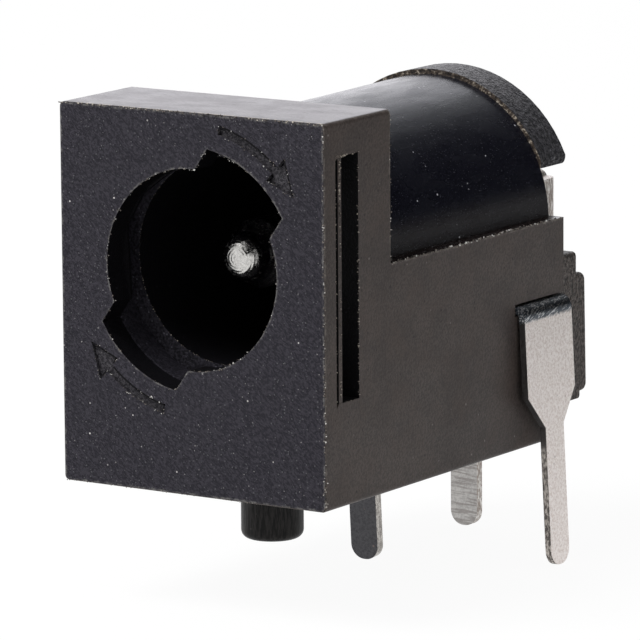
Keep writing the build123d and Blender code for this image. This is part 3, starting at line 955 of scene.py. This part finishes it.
def along(points, step):
    """Points at about equal steps along a line of points."""
    result = []
    for start, end in zip(points, points[1:]):
        count = max(1, round((end - start).length / step))
        result += [start.lerp(end, index / count) for index in range(count)]
    return result


def add_grains(name, seams, coat, seed):
    """Small torn grains along seams, drawn from a seed."""
    draw = random.Random(seed)
    mesh = bmesh.new()
    for points, step, size, stray, share in seams:
        for point in along(points, step):
            if draw.random() > share:
                continue
            middle = point + Vector([draw.uniform(-stray, stray) for axis in range(3)])
            reach = [size * draw.uniform(*GRAIN_SIZES) for axis in range(3)]
            grain = bmesh.ops.create_icosphere(mesh, subdivisions=1, radius=1)
            for vert in grain["verts"]:
                lump = draw.uniform(*GRAIN_LUMPS)
                offset = Vector([part * width * lump for part, width in zip(vert.co, reach)])
                vert.co = (middle + offset) * MM
    add_relief(name, mesh, coat)


def mouth_line(depth):
    """Points round the mouth's outline at a depth."""
    points = []
    for degrees in range(361):
        angle = math.radians(degrees)
        side = abs(math.sin(angle - NOTCH_ANGLE))
        radius = MOUTH_RADIUS
        if side * MOUTH_RADIUS < NOTCH_HALF:
            radius = min(NOTCH_REACH, NOTCH_HALF / max(side, TINY))
        x, z = round_point(radius, angle)
        points.append(Vector((x, depth, z)))
    return points


def arrow_line(turned):
    """Closed line round one arrow, on the face."""
    outline = arrow_outline(turned)
    return [Vector((x, FACE_FRONT, z)) for x, z in outline + outline[:1]]


def barrel_line(depth, radius, start, end):
    """Points over the barrel at a depth, between two angles in degrees from the top towards +X."""
    line = []
    for step in range(BARREL_STEPS + 1):
        angle = math.radians(start + (end - start) * step / BARREL_STEPS)
        line.append(Vector((radius * math.sin(angle), depth, AXIS + radius * math.cos(angle))))
    return line


def side_line(start, end, across=SEAM_SIDE):
    """Straight line by the right side, between two places given by depth and height."""
    return [Vector((across, *start)), Vector((across, *end))]


def face_line(half, height):
    """Level line over the face, this far to both sides."""
    return [Vector((-half, FACE_FRONT, height)), Vector((half, FACE_FRONT, height))]


add_camera()
add_world()
add_floor()
add_area_light(
    "key", place=(-0.1, -0.16, 0.26), target=(0, 0.004, 0.004), size=0.16, power=1.0,
    colour=(1, 1, 1),
)
add_area_light(
    "rear", place=(-0.17, 0.24, 0.09), target=(0, 0.004, 0.008), size=0.2, power=0.11,
    colour=(0.95, 0.92, 1.0),
)
add_dark_card(
    "card_rear_right", place=(0.1, 0.196, 0.12), target=(0, 0.003, 0.006),
    width=0.4, height=0.24, fade=0.4, darkness=1.0,
)
add_dark_card(
    "card_floor_right", place=(0.135, 0.17, -0.0033), target=(0.135, 0.17, 1),
    width=0.2, height=0.3, fade=0.12, darkness=0.96,
)
add_dark_card(
    "card_front", place=(0.0236, -0.1694, 0.0928), target=(0, 0, 0.0065),
    width=0.17, height=0.15, fade=0.05, darkness=1.0,
)
add_dark_card(
    "card_front_right", place=(0.1013, -0.1314, 0.1015), target=(0, 0, 0.0065),
    width=0.1, height=0.1, fade=0.05, darkness=1.0,
)

burr = burr_coat("plastic_burr", pale=(0.42, 0.38, 0.32))
pale_burr = burr_coat("plastic_burr_pale", pale=(0.55, 0.54, 0.52))
# Near black for the mouth, the bore and the arrow slivers: painted shade
inside = dark_coat()
add_housing({
    "side": side_coat(),
    "face": face_coat(),
    "arrow": arrow_coat(),
    "gloss": gloss_coat(),
    "hood": hood_coat(),
    "boss": boss_coat(),
    "inside": inside,
    "peg": peg_coat(),
    "top": top_coat(),
    "cavity": cavity_coat(),
    "parting": parting_coat(),
})
# Painted shadow: black slivers along the arrows' upper and right edges
add_shadow_slivers(inside)

# Lines round the lock slot and along the ridge between the slot and its groove
ridge_upper = side_line((-3.22, 9.95), (-3.22, 8.0))
ridge_lower = side_line((-3.21, 8.0), (-3.21, 3.0))
ridge_end = side_line((-3.4, 9.98), (-2.9, 10.02), SEAM_CORNER)
groove_edge = side_line((GROOVE_FRONT, 9.95), (-3.41, 2.9))
slot_top = side_line((SLOT_FRONT, SLOT_HIGH), (SLOT_REAR, SLOT_HIGH))
slot_rear = side_line((SLOT_REAR, SLOT_HIGH), (SLOT_REAR, SLOT_LOW))
slot_bottom = side_line((SLOT_REAR, SLOT_LOW), (SLOT_FRONT, SLOT_LOW))
add_grains("flash_slot", [
    Seam(ridge_upper, step=0.04, size=0.055, stray=0.035, share=0.7),
    Seam(ridge_lower, step=0.045, size=0.036, stray=0.03, share=0.65),
    Seam(ridge_end, step=0.04, size=0.05, stray=0.05, share=0.8),
    Seam(groove_edge, step=0.06, size=0.03, stray=0.02, share=0.4),
    Seam(slot_top, step=0.06, size=0.04, stray=0.03, share=0.8),
    Seam(slot_rear, step=0.06, size=0.035, stray=0.02, share=0.6),
    Seam(slot_bottom, step=0.06, size=0.03, stray=0.02, share=0.4),
], burr, seed=3)

# Lines over the barrel: the step to the hood, and the bore's front edge
parting_upper = barrel_line(8.73, 3.9, -40, 40)
parting_right = barrel_line(8.73, 3.95, 35, 88)
parting_clump = barrel_line(8.74, 3.9, 17, 30)
bore_edge = barrel_line(SLOT_REAR, 3.0, 0, 360)
add_grains("flash_mouth", [
    Seam(mouth_line(FACE_FRONT), step=0.05, size=0.023, stray=0.035, share=0.27),
    Seam(mouth_line(FACE_FRONT + NEAR), step=0.11, size=0.038, stray=0.03, share=0.2),
], pale_burr, seed=5)
add_grains("flash_arrows", [
    Seam(arrow_line(turned), step=0.06, size=0.026, stray=0.03, share=0.45)
    for turned in ARROW_TURNS
], pale_burr, seed=6)
add_grains("flash_parting", [
    Seam(parting_upper, step=0.07, size=0.022, stray=0.02, share=0.5),
    Seam(parting_right, step=0.05, size=0.028, stray=0.03, share=0.75),
    Seam(parting_clump, step=0.06, size=0.04, stray=0.03, share=0.4),
], burr, seed=7)
add_grains("flash_bore", [
    Seam(bore_edge, step=0.06, size=0.022, stray=0.012, share=0.6),
], burr, seed=8)
add_grains("flash_top", [
    Seam(face_line(FACE_HALF, FACE_TOP - NEAR), step=0.05, size=0.034, stray=0.025, share=0.65),
], burr, seed=10)

# Lines along the edges of the flange and the block
face_right = side_line((FACE_FRONT, 10.95), (FACE_FRONT, 0.05), SEAM_CORNER)
face_right_foot = side_line((FACE_FRONT, 0.9), (FACE_FRONT, 0.05), SEAM_CORNER)
flange_rear = side_line((FLANGE_REAR, 10.9), (FLANGE_REAR, BLOCK_TOP), FACE_HALF)
block_corner = [Vector((FACE_HALF, -0.58, 6.68)), Vector((4.1, -0.5, 6.62))]
block_top = side_line((FLANGE_REAR, BLOCK_TOP), (8.8, BLOCK_TOP), SEAM_CORNER)
add_grains("flash_edges", [
    Seam(face_right, step=0.06, size=0.034, stray=0.03, share=0.6),
    Seam(face_right_foot, step=0.05, size=0.05, stray=0.05, share=0.6),
    Seam(flange_rear, step=0.07, size=0.036, stray=0.025, share=0.5),
    Seam(block_corner, step=0.05, size=0.05, stray=0.04, share=0.9),
    Seam(block_top, step=0.05, size=0.042, stray=0.03, share=0.7),
    Seam(face_line(4.4, NEAR), step=0.08, size=0.025, stray=0.015, share=0.35),
], pale_burr, seed=9)

add_pin(pin_coat())
terminal_coats = {
    "switch_terminal": tin_coat(
        "tin_switch", pale=(0.97, 0.92, 0.895), dull=(0.7, 0.62, 0.58), roughness=0.48,
        sheet_axis=X_AXIS, torn=((0.05, 0.042, 0.038), (0.5, 0.46, 0.42)), fold=SWITCH_FOLD,
    ),
    # The spring's leg is painted dark grey: painted shade, for the shaded floor under the housing that
    # it reflects. Inside the housing it turns pale tin.
    "sleeve_spring": tin_coat(
        "tin_spring", pale=(0.078, 0.077, 0.082), dull=(0.05, 0.049, 0.053), roughness=0.3,
        sheet_axis=Y_AXIS, torn=((0.3, 0.28, 0.26), (0.62, 0.59, 0.55)), inner=(0.8, 0.74, 0.62),
    ),
    "center_terminal": tin_coat(
        "tin_center", pale=(0.52, 0.505, 0.49), dull=(0.36, 0.35, 0.34), roughness=0.4,
        sheet_axis=Y_AXIS, torn=((0.3, 0.25, 0.22), (0.75, 0.73, 0.7)), comb=0.6,
    ),
}
for name, coat in terminal_coats.items():
    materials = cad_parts[name].data.materials
    materials.clear()
    materials.append(coat)

bpy.context.scene.view_settings.view_transform = "Standard"
